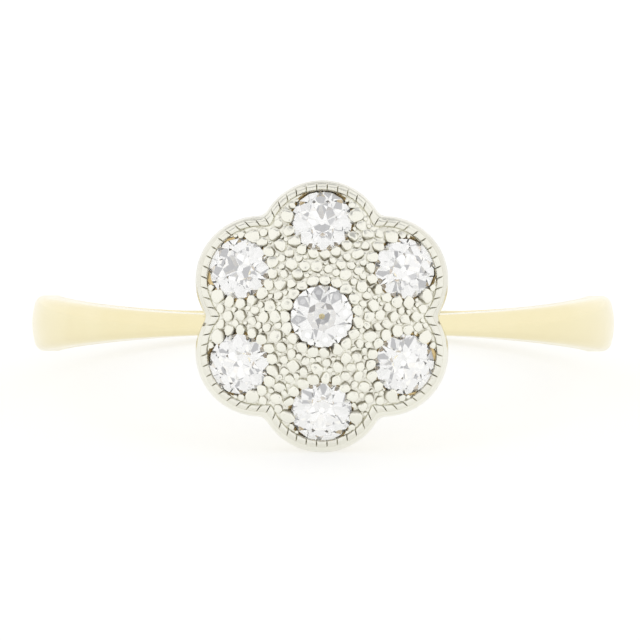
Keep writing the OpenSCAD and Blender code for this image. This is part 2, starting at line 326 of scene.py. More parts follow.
def off_stones(ring, places):
    """Distances from places on the dome, given in plan, to the nearest stone's girdle, square to
    that stone's axis."""
    axes, stone_r = stone_table(ring)
    points, _ = dome_points(ring, places[:, 0], places[:, 1])
    square_off = np.cross(points[:, None] - dome_centre(ring), axes[None])
    return (np.linalg.norm(square_off, axis=2) - stone_r).min(axis=1)


def seat_table(ring):
    """Axis and radius of every seat. Each was cut a little off its stone, its own way."""
    axes, stone_r = stone_table(ring)
    off = np.stack([np.cos(SEAT_WAYS), np.sin(SEAT_WAYS), 0 * SEAT_WAYS], axis=1)
    moved = axes + off * SEAT_LOOSE[:, None] * ring.stones.shift / ring.head.dome_r
    moved /= np.linalg.norm(moved, axis=1, keepdims=True)
    return moved, stone_r + ring.stones.gap * SEAT_LOOSE


def tangents(axes):
    """Two directions square to each axis and to each other."""
    side = np.cross(np.array([0.0, 1.0, 0.0]), axes)
    side /= np.linalg.norm(side, axis=-1, keepdims=True)
    return side, np.cross(axes, side)


def lathed(ring, axes, out, down, steps):
    """Profiles carried round axes through the dome's centre: out is the distance from the axis, by
    axis, row and turn, and down is each row's height above the dome. Gives points and quads."""
    side, up = tangents(axes)
    turn = 2 * np.pi * np.arange(steps) / steps
    circle = np.cos(turn)[None, :, None] * side[:, None] + np.sin(turn)[None, :, None] * up[:, None]
    height = (ring.head.dome_r + down)[None, :, None, None] * axes[:, None, None]
    points = dome_centre(ring) + height + out[..., None] * circle[:, None]
    one = grid_quads(len(down), steps, wrap_columns=True)
    return on_head(ring, points.reshape(-1, 3)), repeated(one, len(axes), len(down) * steps)


def dome_points(ring, x, y):
    """Places on the dome above places in plan, and the dome's normals there."""
    points = np.stack([x, y, dome_height(ring, x, y)], axis=-1)
    return points, (points - dome_centre(ring)) / ring.head.dome_r


# The plate's millegrain edge

def edge_profile(ring, turn):
    """The edge's cross-section, from its underside out, up the wall, over the bevel and the bead
    row, and down to the field. Each row has an inset from the outline, a share of the way from the
    plate's underside to the dome, a lift above that, and how far across the bead row it is."""
    edge, foot_r = ring.edge, 0.035 * MM
    under = [(0.5 * MM, 0, 0), (0.25 * MM, 0, 0), (foot_r, 0, 0), (0.01 * MM, 0, 0.01 * MM),
             (0.0, 0, foot_r)]
    wall = [(WALL_LEAN * s, s, foot_r * (1 - s) - BEVEL_DROP * s) for s in (0.25, 0.5, 0.75)]
    upward = (1 + np.sin(turn)) / 2
    bevel = edge.bevel + (edge.bevel_top - edge.bevel) * smooth_step(upward, 0.7, 1.0)
    arc = np.linspace(0, np.pi / 2, 7)
    across = np.linspace(0, 1, 15)[1:]
    drop = [(0.01 * MM, -0.03 * MM), (0.02 * MM, -0.075 * MM), (0.06 * MM, -0.11 * MM)]
    rows = [(np.full_like(turn, inset), share, lift, 0.0) for inset, share, lift in under + wall]
    rows += [(WALL_LEAN + bevel * (1 - np.cos(a)), 1, -BEVEL_DROP * (1 - np.sin(a)), 0.0)
             for a in arc]
    rows += [(WALL_LEAN + bevel + edge.width * v, 1, 0.0, v) for v in across]
    rows += [(WALL_LEAN + bevel + edge.width + out, 1, lift, 1.0) for out, lift in drop]
    insets = np.stack([row[0] for row in rows])
    share, lift, v = (np.array([row[i] for row in rows])[:, None] for i in (1, 2, 3))
    return insets, share, lift, v


def plate_edge(ring, material):
    """The plate's wall, bevel and millegrain in one closed strip. A bead's lift is a half sine
    across the row to a low power, less a cut between beads that deepens towards the field.
    Painted shade over tarnished metal darkens the cuts and the solder pits, painted shade alone
    darkens the underside, wall and bevel towards the top of the face, and the bead row takes a
    little of the same colour all over."""
    beads, steps = ring.edge.beads, 16
    columns = beads * steps
    shares = -1 + 2 * np.arange(columns) / columns
    turn = (petal_turns()[:, None] + shares[None, :] * SIXTH / 2).ravel()
    insets, share, lift, v = edge_profile(ring, turn)
    x, y = petal_strip(ring, shares, insets.reshape(len(insets), PETALS, columns))
    x, y = x.reshape(len(insets), -1), y.reshape(len(insets), -1)
    phase = np.tile((np.arange(columns) % steps) / steps, PETALS)
    off_middle = np.abs(2 * phase - 1)[None, :]
    size = np.repeat(np.random.default_rng(3).uniform(0.85, 1.1, beads * PETALS), steps)[None, :]
    cut = smooth_step(off_middle, 0.84, 1.0) * smooth_step(v, 0.0, 0.08)
    round_off = 1 - 0.35 * off_middle ** 4 * smooth_step(v, 0.4, 0.9)
    crown = np.sin(np.pi * np.clip(v, 0, 1)) ** 0.6
    bead = ring.edge.height * size * crown * round_off * (1 - 0.6 * cut)
    z = levels(ring)[0] * (1 - share) + dome_height(ring, x, y) * share + lift + bead
    points = np.stack([x, y, z - CUT_DEPTH * cut], axis=-1).reshape(-1, 3)
    pits = solder_pits(points)
    points[:, 2] -= PIT_DEPTH * pits
    # Painted shade over tarnished metal in the cuts between beads, of a random strength for each
    # bead
    bead_cut_shade_and_tarnish = np.repeat(np.random.default_rng(4).uniform(0.35, 0.8, beads * PETALS), steps)
    bead_cut_shade_and_tarnish = np.roll(bead_cut_shade_and_tarnish, steps // 2)[None, :]
    line = bead_cut_shade_and_tarnish * smooth_step(off_middle, 0.9, 1.0) * smooth_step(v, 0.0, 0.1)
    # Painted shade on the underside, wall and bevel, darker towards the top of the face; the bead
    # row takes a little of the colour all over
    upper_bevel_shade = 0.22 * smooth_step(np.sin(turn), -0.6, 0.2)
    shade_and_tarnish = np.maximum(line, np.where(v > 0, 0.1, upper_bevel_shade))
    # The solder pits take the full painted shade over tarnished metal
    shade_and_tarnish = np.maximum(np.broadcast_to(shade_and_tarnish, x.shape).ravel(), pits)
    quads = grid_quads(len(insets), PETALS * columns, wrap_columns=True)
    return new_piece(
        "plate_edge", on_head(ring, points), quads, material, {"shade_and_tarnish": shade_and_tarnish})


def solder_pits(points):
    """1 in the two small pits that the solder left where the shoulders meet the plate, else 0."""
    far = np.linalg.norm(points[:, None, :2] - PIT_PLACES, axis=2).min(axis=1)
    return smooth_step(far, 0.07 * MM, 0.04 * MM)


# The field between the stones

def cell_noise(x, y, pitch, seed):
    """Distances to the nearest and second nearest of points scattered one to a square cell, and a
    number from 0 to 1 that belongs to the nearest."""
    table = np.random.default_rng(seed).uniform(0, 1, (64, 64, 3))
    cell_x, cell_y = np.floor(x / pitch).astype(int), np.floor(y / pitch).astype(int)
    near = np.full(x.shape, np.inf)
    second = np.full(x.shape, np.inf)
    value = np.zeros(x.shape)
    for step_x in (-1, 0, 1):
        for step_y in (-1, 0, 1):
            i, j = cell_x + step_x, cell_y + step_y
            here = table[i % 64, j % 64]
            far = np.hypot((i + here[..., 0]) * pitch - x, (j + here[..., 1]) * pitch - y)
            value = np.where(far < near, here[..., 2], value)
            second = np.minimum(second, np.maximum(far, near))
            near = np.minimum(near, far)
    return near, second, value


def field(ring, material, placed):
    """The sunken field: a square grid on the dome, trimmed to the stones' seats by moving the
    points that fall inside a seat onto its edge. It is chased into small uneven blobs with grooves
    between them."""
    head, cell, blob_pitch, blob_r = ring.head, 0.03 * MM, 0.23 * MM, 0.2 * MM
    hem, round_middle = 0.24 * MM, 0.5 * MM
    reach = head.petal_c + head.petal_r
    line = np.arange(-reach, reach, cell)
    x, y = (g.ravel() for g in np.meshgrid(line, line))
    quads = grid_quads(len(line), len(line))
    in_petals = head.petal_r - hem - off_petals(ring, np.stack([x, y], axis=1))
    in_plate = np.maximum(in_petals, ring.stones.middle_r + round_middle - np.hypot(x, y))
    points, _ = dome_points(ring, x, y)
    centre = dome_centre(ring)
    outside = np.full(x.shape, np.inf)
    for axis, seat_r in zip(*seat_table(ring)):
        along = (points - centre) @ axis
        out = points - centre - along[:, None] * axis
        far = np.linalg.norm(out, axis=1)
        inside = (far < seat_r) & (along > 0) & (far > 0)
        grow = np.where(inside, seat_r / np.where(far > 0, far, 1), 1)
        points = centre + along[:, None] * axis + out * grow[:, None]
        outside = np.minimum(outside, np.where(along > 0, far - seat_r, np.inf))
    keep = (outside[quads] > 0).any(axis=1) & (in_plate[quads] > 0).all(axis=1)
    used, quads = np.unique(quads[keep], return_inverse=True)
    x, y, outside = points[used, 0], points[used, 1], outside[used]
    near, second, value = cell_noise(x, y, blob_pitch, 5)
    groove = smooth_step(second - near, 0.04 * MM, 0.0)
    blob = np.sqrt(np.clip(1 - (near / blob_r) ** 2, 0, 1))
    relief = (0.035 * blob + 0.03 * (value - 0.5)) * MM - 0.02 * MM * groove
    on_dome, normals = dome_points(ring, x, y)
    sunk = -head.field_sink + relief * smooth_step(outside, 0.0, 0.05 * MM)
    # Painted shade over tarnished metal in the grooves and round the grains' feet
    shade_and_tarnish = 0.3 * np.maximum(groove, grain_shadow(placed, x, y))
    # Painted shade where the field drops down to the seats
    shade_and_tarnish = np.maximum(shade_and_tarnish, smooth_step(outside, 0.03 * MM, 0.0) * 0.8)
    return new_piece(
        "field", on_head(ring, on_dome + normals * sunk[:, None]), quads.reshape(-1, 4), material,
        {"shade_and_tarnish": shade_and_tarnish})


def grain_shadow(placed, x, y):
    """Painted shade over tarnished metal round the foot of each grain: 1 at its outline and 0 a
    little way off.
    """
    places, radii, _ = placed
    far = np.full(x.shape, np.inf)
    for place, radius in zip(places, radii):
        far = np.minimum(far, np.hypot(x - place[0], y - place[1]) - radius)
    return smooth_step(far, 0.045 * MM, 0.0)


def inside_row(ring, places):
    """Distances in plan from places to the bead row round them."""
    row_r = ring.head.petal_r - ring.edge.bevel - ring.edge.width - WALL_LEAN
    return row_r - off_petals(ring, places)


def grain_places(ring):
    """Places and radii in plan: grains round every stone, then a jittered field of them, each kept
    only if it is clear of the stones, the bead row and the grains before it."""
    size, head = ring.grains, ring.head
    axes, stone_r = stone_table(ring)
    count = int(2 * np.pi * (ring.stones.petal_r + size.radius) / size.pitch)
    turn = 2 * np.pi * (np.arange(count) + 0.5) / count
    circle = np.stack([np.cos(turn), np.sin(turn)], axis=1)
    rings = [axis[:2] * head.dome_r + (r + 0.75 * size.radius) * circle
             for axis, r in zip(axes, stone_r)]
    steps = int(np.ceil((head.petal_c + head.petal_r) / size.pitch))
    i, j = (g.ravel() for g in np.meshgrid(*2 * [np.arange(-steps, steps + 1)]))
    shake_x = 0.12 * np.sin(np.radians(137 * i + 61 * j))
    shake_y = 0.12 * np.sin(np.radians(89 * i + 151 * j))
    spread = np.stack([i + np.fmod(j, 2) / 2 + shake_x, (j + shake_y) * np.cos(np.pi / 6)], axis=1)
    corners, corner_r = corner_grains(ring)
    places = np.concatenate(rings + [spread * size.pitch])
    clear = off_stones(ring, places) > 0.65 * size.radius
    fits = clear & (inside_row(ring, places) > 0.75 * size.radius)
    kept = list(corners)
    for place in places[fits]:
        if np.min(np.linalg.norm(np.array(kept) - place, axis=1)) >= size.spacing:
            kept.append(place)
    free = np.random.default_rng(11).uniform(1.0, 1.2, len(kept) - len(corners)) * size.radius
    return fill_voids(ring, np.array(kept), np.concatenate([corner_r, free]))


def fill_voids(ring, places, radii):
    """Adds low grains where the others leave room, the widest of a fine grid of places first, and
    tells which are low."""
    size, reach = ring.grains, ring.head.petal_c + ring.head.petal_r
    x, y = (g.ravel() for g in np.meshgrid(*2 * [np.arange(-reach, reach, 0.04 * MM)]))
    tries = np.stack([x, y], axis=1)
    off_grains = (np.linalg.norm(tries[:, None] - places, axis=2) - radii).min(axis=1)
    room = np.minimum(np.minimum(off_stones(ring, tries), inside_row(ring, tries)), off_grains)
    added, added_r = [], []
    while room.max() > size.least and len(added) < 400:
        best = room.argmax()
        added.append(tries[best])
        added_r.append(min(room[best] * 1.15, size.radius * 0.85))
        room = np.minimum(room, np.linalg.norm(tries - added[-1], axis=1) - added_r[-1])
    low = np.arange(len(places) + len(added)) >= len(places)
    return np.concatenate([places, added]), np.concatenate([radii, added_r]), low


def corner_grains(ring):
    """The two larger grains that hold each petal's stone, either side of it towards the notches."""
    head, size = ring.head, ring.stones
    axes, _ = stone_table(ring)
    middles = axes[1:, :2] * head.dome_r
    turns = petal_turns()[:, None] + np.radians(84) * np.array([-1, 1])[None, :]
    away = size.petal_r + ring.grains.corner_r / 2
    places = middles[:, None] + away * np.stack([np.cos(turns), np.sin(turns)], axis=-1)
    return places.reshape(-1, 2), np.full(2 * PETALS, ring.grains.corner_r)


def grain_outlines(rng, count, turn):
    """Rounded polygons round a grain's middle, as a share of its radius in each direction: a high
    power mean of the distances to six sides at uneven angles."""
    sides, power = 6, 9
    facing = rng.uniform(0, 2 * np.pi, (count, 1)) + 2 * np.pi * np.arange(sides) / sides
    facing = facing + rng.uniform(-0.28, 0.28, (count, sides))
    reach = rng.uniform(0.8, 1.06, (count, sides, 1))
    towards = np.clip(np.cos(turn - facing[:, :, None]), 0, None) / reach
    return (towards ** power).sum(axis=1) ** (-1 / power)


def grains(ring, material, placed):
    """Every grain as a low flat-topped dome on a rounded polygon. The graver that raised it came
    from the face's middle, more or less, and left a steep cut on that side: there the top ends
    sooner, and a slope runs down to the foot. Painted shade over tarnished metal darkens the cut
    and the foot. The skirt goes below the field."""
    places, radii, low = placed
    rng = np.random.default_rng(7)
    count, columns = len(places), 16
    points, normals = dome_points(ring, places[:, 0], places[:, 1])
    side, up = tangents(normals)
    turn = 2 * np.pi * np.arange(columns) / columns
    outline = grain_outlines(rng, count, turn)
    cut_way = np.arctan2(-places[:, 1], -places[:, 0]) + rng.normal(0, 0.55, count)
    facing_cut = np.clip(np.cos(turn - cut_way[:, None]), 0, 1) ** 1.5
    cut = rng.uniform(0.15, 1.0, count)[:, None] * facing_cut
    # Rows of a grain: four over the top and its shoulder, three down the slope or cut to the skirt
    top_end = (0.95 - 0.55 * cut)[:, None, :]
    over_top = np.array([0.0, 0.55, 0.86, 1.0])[None, :, None] * top_end
    slope = top_end + (1 - top_end) * np.array([0.5, 1.0, 1.3])[None, :, None]
    heights = np.array([1.0, 0.98, 0.9, 0.74, 0.2, -0.6, -0.6])[None, :, None]
    skirt = np.array([0, 0, 0, 0, 0, 0, -0.05 * MM])[None, :, None]
    # Painted shade over tarnished metal, by row: on the steep cut and round the foot
    cut_face_shade_and_tarnish = np.array([0, 0, 0, 0.15, 0.9, 1, 1])[None, :, None]
    foot_shade_and_tarnish = np.array([0, 0, 0, 0, 0.05, 0.15, 0.3])[None, :, None]
    away = (radii[:, None] * outline)[:, None, :] * np.concatenate([over_top, slope], axis=1)
    u, v = away * np.cos(turn), away * np.sin(turn)
    tall = ring.grains.height * rng.uniform(0.85, 1.15, count) * np.where(low, 0.45, 1.0)
    tilt = rng.normal(0, 0.1, (count, 2, 1, 1))
    lean = np.clip(heights, 0, 1) * (tilt[:, 0] * u + tilt[:, 1] * v)
    lift = tall[:, None, None] * heights + skirt + lean
    shape = (
        points[:, None, None] + u[..., None] * side[:, None, None]
        + v[..., None] * up[:, None, None] + lift[..., None] * normals[:, None, None])
    # Painted shade over tarnished metal where the cut is steep, and round the foot
    shade_and_tarnish = np.maximum(cut_face_shade_and_tarnish * smooth_step(cut, 0.1, 0.35)[:, None, :], foot_shade_and_tarnish)
    rows = heights.size
    quads = repeated(grid_quads(rows, columns, wrap_columns=True)[:, ::-1], count, rows * columns)
    return new_piece(
        "grains", on_head(ring, shape.reshape(-1, 3)), quads, material,
        {"shade_and_tarnish": shade_and_tarnish.ravel()}, sharp_deg=38)


def collars(ring, material):
    """The gold seen down between the stones and the plate: a lathed seat for each stone, with a
    wall past the girdle, a cone under the pavilion and a short light hole. The wider seats have a
    ledge that fills the crescent between wall and girdle where the stone lies off their middle."""
    (axes, seat_r), steps = seat_table(ring), 96
    hole_r = ring.head.well_r - 0.06 * MM
    # Rows down a seat: out from its radius, down from the dome, and whether the ledge moves it in
    rows = np.array([
        [0.012, -0.052, 0], [0.0, -0.07, 0], [-0.002, -0.12, 0], [-0.004, -0.125, 1],
        [-0.02, -0.19, 1], [-0.16, -0.33, 0], [-0.32, -0.47, 0]]) * [MM, MM, 1]
    hole = np.array([-0.55, -0.7, -1.3]) * MM
    turn = 2 * np.pi * np.arange(steps) / steps
    gap = (seat_r - stone_table(ring)[1])[:, None]
    gap = gap + ring.stones.shift * SEAT_LOOSE[:, None] * np.cos(turn - SEAT_WAYS[:, None])
    ledge = np.clip(gap - 0.012 * MM, 0, None) * (SEAT_LOOSE[:, None] > 1)
    out = seat_r[:, None, None] + rows[None, :, :1] - rows[None, :, 2:] * ledge[:, None, :]
    out = np.concatenate([out, np.full((len(out), len(hole), steps), hole_r)], axis=1)
    points, quads = lathed(ring, axes, out, np.concatenate([rows[:, 1], hole]), steps)
    return new_piece("seats", points, quads, material)


# The gold band and gallery

def band_section(ring, above):
    """Half width and outer radius of the band at an angle above the ring's middle. Above it, the
    half width falls to a shoulder's and the radius grows by a power of the share of the way up, and
    below it the half width falls to the back's. Falls go halfway between a line and a smooth S."""
    band = ring.band
    plate_z, _ = levels(ring)
    notch_x = arc_radius(ring, SIXTH / 2) * notch_fill(ring, np.array(SIXTH / 2))
    top = plate_z + band.lap
    end, end_r = np.arctan2(top, notch_x), np.hypot(top, notch_x)
    rise = np.clip((above - SHOULDER_START) / (end - SHOULDER_START), 0, 1)
    fall = np.clip((-above - BACK_START) / (BACK_END - BACK_START), 0, 1)
    rise_s, fall_s = (0.5 * (u + u * u * (3 - 2 * u)) for u in (rise, fall))
    half = band.side_half + (band.head_half - band.side_half) * rise_s
    half = half + (band.back_half - band.side_half) * fall_s
    outer_r = FINGER_R + band.thickness
    outer = outer_r + (end_r - outer_r) * rise ** 3
    hidden = smooth_step(above, end + np.radians(1.5), end + np.radians(4))
    return half, outer + (outer_r - 0.1 * MM - outer) * hidden


def band_surface(ring):
    """D sections carried once round the finger. A section runs round its flat inside with softly
    rounded inner edges, up the sides, round the outer edges and over the crown."""
    steps = 480
    turn = 2 * np.pi * (np.arange(steps) + 0.5) / steps
    above = np.abs(turn - np.pi)
    half, outer = (part[:, None] for part in band_section(ring, np.pi / 2 - above))
    soft, crown_r = INNER_EDGE, ring.band.crown_r
    edge = np.minimum(ring.band.edge_r, half / 2)
    lean = np.arcsin((half - edge) / (crown_r - edge))
    centre = outer - crown_r + (crown_r - edge) * np.cos(lean)
    quarter = np.linspace(0, 1, 7)[None, :]
    bend = quarter * np.pi / 2
    round_in = (FINGER_R + soft * (1 - np.cos(bend)) + 0 * half, half - soft + soft * np.sin(bend))
    around = (np.pi / 2 - lean) * quarter
    round_out = (centre + edge * np.sin(around), half - edge + edge * np.cos(around))
    across = lean * (1 - 2 * np.linspace(0, 1, 14)[None, 1:-1])
    crown = (outer - crown_r * (1 - np.cos(across)), crown_r * np.sin(across))
    flat = np.linspace(-1, 1, 6)[None, 1:-1] * (half - soft)
    radius = [round_in[0], round_out[0], crown[0], round_out[0][:, ::-1], round_in[0][:, ::-1],
              FINGER_R + 0 * flat]
    along = [round_in[1], round_out[1], crown[1], -round_out[1][:, ::-1], -round_in[1][:, ::-1],
             flat]
    radius, along = np.concatenate(radius, axis=1), np.concatenate(along, axis=1)
    points = np.stack(
        [radius * np.sin(turn)[:, None], along, -radius * np.cos(turn)[:, None]], axis=-1)
    quads = grid_quads(*radius.shape, wrap_rows=True, wrap_columns=True)[:, ::-1]
    return points.reshape(-1, 3), quads


def gallery_surface(ring):
    """The gallery as one closed surface: its underside on a cylinder a step outside the finger, its
    wall leaning in towards the dome's centre, and its flat top just under the plate. The wall meets
    the cylinder at the root of a quadratic in the height above the dome's centre."""
    head = ring.head
    plate_z, dome_z = levels(ring)
    turn = 2 * np.pi * np.arange(540) / 540
    outline = arc_radius(ring, (turn + SIXTH / 2 - np.pi / 2) % SIXTH - SIXTH / 2)
    outline = outline * notch_fill(ring, turn - np.pi / 2) - head.gallery_inset
    lean = outline / (plate_z - dome_z)
    under_r = FINGER_R + head.relief
    k = (lean * np.cos(turn)) ** 2
    foot = (-dome_z + np.sqrt(dome_z ** 2 - (k + 1) * (dome_z ** 2 - under_r ** 2))) / (k + 1)
    top = plate_z - SOLDER_GAP - dome_z
    inward = np.linspace(0, 1, 30)[:, None]
    under = inward * (lean * foot)[None, :]
    wall_height = foot[None, :] + (top - foot)[None, :] * np.linspace(0, 1, 9)[1:, None]
    wall = lean[None, :] * wall_height
    cap = (lean * top)[None, :] * (1 - inward[1:])
    radius = np.concatenate([under, wall, cap])
    x, y = radius * np.cos(turn), radius * np.sin(turn)
    under_z = np.sqrt(under_r ** 2 - x[:len(under)] ** 2)
    z = np.concatenate([under_z, wall_height + dome_z, np.full(cap.shape, top + dome_z)])
    quads = grid_quads(len(radius), len(turn), wrap_columns=True)
    return on_head(ring, np.stack([x, y, z], axis=-1).reshape(-1, 3)), quads


def well_surfaces(ring):
    """The light wells as seven closed cylinders, one on each stone's axis."""
    axes, _ = stone_table(ring)
    depth, steps = 2 * (ring.head.gallery_h + ring.head.plate_t), 64
    out = np.array([0, 1, 1, 0])[None, :, None] * ring.head.well_r * np.ones((len(axes), 1, steps))
    return lathed(ring, axes, out, np.array([-depth, -depth, 0, 0]), steps)


def closed_mesh(name, points, quads):
    """A mesh object whose doubled points, at seams and poles, are merged."""
    mesh = bpy.data.meshes.new(name)
    mesh.from_pydata(lay_down(points), [], quads)
    solid = bmesh.new()
    solid.from_mesh(mesh)
    bmesh.ops.remove_doubles(solid, verts=solid.verts, dist=1e-7)
    solid.to_mesh(mesh)
    solid.free()
    shape = bpy.data.objects.new(name, mesh)
    bpy.context.scene.collection.objects.link(shape)
    return shape


def shank(ring, material):
    """The band and gallery as one soldered solid, with the light wells bored through it."""
    band = closed_mesh("shank_gold", *band_surface(ring))
    gallery = closed_mesh("gallery", *gallery_surface(ring))
    wells = closed_mesh("wells", *well_surfaces(ring))
    for operation, other in (("UNION", gallery), ("DIFFERENCE", wells)):
        cut = band.modifiers.new(operation.title(), "BOOLEAN")
        cut.operation = operation
        cut.object = other
    finished = band.evaluated_get(bpy.context.evaluated_depsgraph_get())
    whole = bpy.data.meshes.new_from_object(finished)
    band.modifiers.clear()
    band.data = whole
    whole.name = "shank_gold"
    whole.polygons.foreach_set("use_smooth", np.ones(len(whole.polygons), bool))
    whole.set_sharp_from_angle(angle=np.radians(35))
    whole.materials.clear()
    whole.materials.append(material)
    for other in (gallery, wells):
        bpy.data.objects.remove(other)
    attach(band, "root")
    return band


# Materials

def add_node(tree, kind, inputs=None, **settings):
    """A shader node with its settings, whose inputs are values or other nodes' outputs."""
    node = tree.nodes.new(kind)
    for name, value in settings.items():
        setattr(node, name, value)
    for name, value in (inputs or {}).items():
        if isinstance(value, bpy.types.NodeSocket):
            tree.links.new(value, node.inputs[name])
        else:
            node.inputs[name].default_value = value
    return node


def new_material(name):
    """An empty node material, its tree, and its object coordinates."""
    material = bpy.data.materials.new(name)
    material.use_nodes = True
    tree = material.node_tree
    tree.nodes.clear()
    place = add_node(tree, "ShaderNodeTexCoord").outputs["Object"]
    return material, tree, place


def finish_material(tree, **inputs):
    """Gives the tree a Principled shader with these inputs and an output."""
    named = {key.replace("_", " "): value for key, value in inputs.items()}
    shader = add_node(tree, "ShaderNodeBsdfPrincipled", named)
    add_node(tree, "ShaderNodeOutputMaterial", {"Surface": shader.outputs["BSDF"]})


def per_metre(size_mm):
    """A noise texture's scale for features of that size."""
    return 1 / (size_mm * MM)


def rgba(value):
    """A colour with full alpha."""
    return (*value, 1.0)


def scratches(tree, place, spacing_mm, stretch):
    """Hairlines: a noise whose pattern is drawn out along one direction, cut down to thin lines."""
    drawn = add_node(tree, "ShaderNodeMapping", {
        "Vector": place, "Scale": tuple(s * per_metre(spacing_mm) for s in stretch)})
    noise = add_node(tree, "ShaderNodeTexNoise", {
        "Vector": drawn.outputs["Vector"], "Scale": 1.0, "Detail": 4.0, "Roughness": 0.7})
    return noise.outputs["Fac"]


def polished_gold(colours):
    """18 carat gold, polished on a buff: a soft mirror with faint clouds of finer and coarser
    polish and hairline scratches from wear, which run round the band. The hairlines are really a
    few thousandths of a millimetre apart and are drawn at 0.06 mm so that they show."""
    material, tree, place = new_material("polished_gold_18k")
    clouds = add_node(tree, "ShaderNodeTexNoise", {
        "Vector": place, "Scale": per_metre(1.6), "Detail": 3.0, "Roughness": 0.55})
    tint = add_node(tree, "ShaderNodeMix", {
        "Factor": clouds.outputs["Fac"], "A": rgba(colours.gold), "B": rgba(colours.gold_deep)},
        data_type="RGBA")
    hairs = scratches(tree, place, 0.06, (0.08, 0.08, 1.0))
    rough = add_node(tree, "ShaderNodeMapRange", {
        "Value": hairs, "From Min": 0.35, "From Max": 0.75, "To Min": 0.12, "To Max": 0.24})
    bump = add_node(tree, "ShaderNodeBump", {
        "Height": hairs, "Strength": 0.05, "Distance": 0.01 * MM})
    finish_material(
        tree, Base_Color=tint.outputs["Result"], Metallic=1.0, Roughness=rough.outputs["Result"],
        Normal=bump.outputs["Normal"])
    return material


def seat_gold(colours):
    """Gold as it was cast and cut, deep in the seats: duller and browner than the polished band."""
    material, tree, place = new_material("cast_gold_in_seats")
    grain = add_node(tree, "ShaderNodeTexNoise", {
        "Vector": place, "Scale": per_metre(0.08), "Detail": 3.0, "Roughness": 0.6})
    tint = add_node(tree, "ShaderNodeMix", {
        "Factor": grain.outputs["Fac"], "A": rgba(colours.seat), "B": rgba(colours.gold_deep)},
        data_type="RGBA")
    bump = add_node(tree, "ShaderNodeBump", {
        "Height": grain.outputs["Fac"], "Strength": 0.3, "Distance": 0.01 * MM})
    finish_material(
        tree, Base_Color=tint.outputs["Result"], Metallic=1.0, Roughness=0.42,
        Normal=bump.outputs["Normal"])
    return material


def grained_platinum(colours):
    """Platinum, cut with a graver and polished by wear: bright on the tops of grains and beads, and
    brown-grey in the cuts, where painted shade lies over tarnished metal and polish residue. An
    attribute that each piece gives says how much of that painted shade a place has."""
    material, tree, place = new_material("grained_platinum")
    depth = add_node(tree, "ShaderNodeAttribute", attribute_name="shade_and_tarnish")
    blotches = add_node(tree, "ShaderNodeTexNoise", {
        "Vector": place, "Scale": per_metre(0.5), "Detail": 4.0, "Roughness": 0.6})
    uneven = add_node(tree, "ShaderNodeMapRange", {
        "Value": blotches.outputs["Fac"], "From Min": 0.3, "From Max": 0.7,
        "To Min": 0.45, "To Max": 1.0})
    # Painted shade over tarnished metal, made blotchy by the noise
    blotchy_shade_and_tarnish = add_node(
        tree, "ShaderNodeMath", {0: depth.outputs["Fac"], 1: uneven.outputs["Result"]},
        operation="MULTIPLY", use_clamp=True)
    warm = add_node(tree, "ShaderNodeMix", {
        "Factor": blotches.outputs["Fac"],
        "A": rgba(colours.platinum), "B": rgba(colours.platinum_warm)}, data_type="RGBA")
    tint = add_node(tree, "ShaderNodeMix", {
        "Factor": blotchy_shade_and_tarnish.outputs["Value"], "A": warm.outputs["Result"], "B": rgba(colours.shade_and_tarnish)},
        data_type="RGBA")
    rough = add_node(tree, "ShaderNodeMapRange", {
        "Value": blotchy_shade_and_tarnish.outputs["Value"], "From Min": 0.0, "From Max": 1.0,
        "To Min": 0.2, "To Max": 0.55})
    marks = scratches(tree, place, 0.05, (1.0, 0.25, 1.0))
    bump = add_node(tree, "ShaderNodeBump", {
        "Height": marks, "Strength": 0.12, "Distance": 0.01 * MM})
    finish_material(
        tree, Base_Color=tint.outputs["Result"], Metallic=1.0, Roughness=rough.outputs["Result"],
        Normal=bump.outputs["Normal"])
    return material


def clear_brilliant():
    """Old-cut diamond: clear, with a very high index, so that light turns back inside it. A faint
    unevenness of the polish keeps the facets from being perfect mirrors."""
    material, tree, place = new_material("clear_diamond")
    polish = add_node(tree, "ShaderNodeTexNoise", {
        "Vector": place, "Scale": per_metre(0.3), "Detail": 2.0, "Roughness": 0.5})
    rough = add_node(tree, "ShaderNodeMapRange", {
        "Value": polish.outputs["Fac"], "From Min": 0.4, "From Max": 0.8,
        "To Min": 0.0, "To Max": 0.04})
    finish_material(
        tree, Base_Color=(1.0, 1.0, 1.0, 1.0), Metallic=0.0, Roughness=rough.outputs["Result"],
        IOR=2.42, Transmission_Weight=1.0)
    return material


def lit_acrylic(colours):
    """A matt white acrylic table top lit from below, as jewellery is photographed on: most of its
    light comes from inside, so that shadows on it are faint. It has a fine matt texture."""
    material, tree, place = new_material("lit_white_acrylic")
    matt = add_node(tree, "ShaderNodeTexNoise", {
        "Vector": place, "Scale": per_metre(0.9), "Detail": 3.0, "Roughness": 0.6})
    bump = add_node(tree, "ShaderNodeBump", {
        "Height": matt.outputs["Fac"], "Strength": 0.05, "Distance": 0.02 * MM})
    finish_material(
        tree, Base_Color=rgba(colours.floor), Metallic=0.0, Roughness=0.9,
        Normal=bump.outputs["Normal"], Emission_Color=(1.0, 1.0, 0.995, 1.0),
        Emission_Strength=0.63)
    return material


def glow(name, value):
    """An even light of one colour, for the cards of the studio."""
    material, tree, _ = new_material(name)
    light = add_node(tree, "ShaderNodeEmission", {"Color": rgba(value), "Strength": 1.0})
    add_node(tree, "ShaderNodeOutputMaterial", {"Surface": light.outputs["Emission"]})
    return material


# The studio

# The rays that see a card: all of them, those that metal sends out, or those through the stones
ALL_RAYS = ("camera", "diffuse", "glossy", "transmission", "shadow")
METAL_RAYS = ("glossy", "diffuse", "shadow")
STONE_RAYS = ("transmission",)
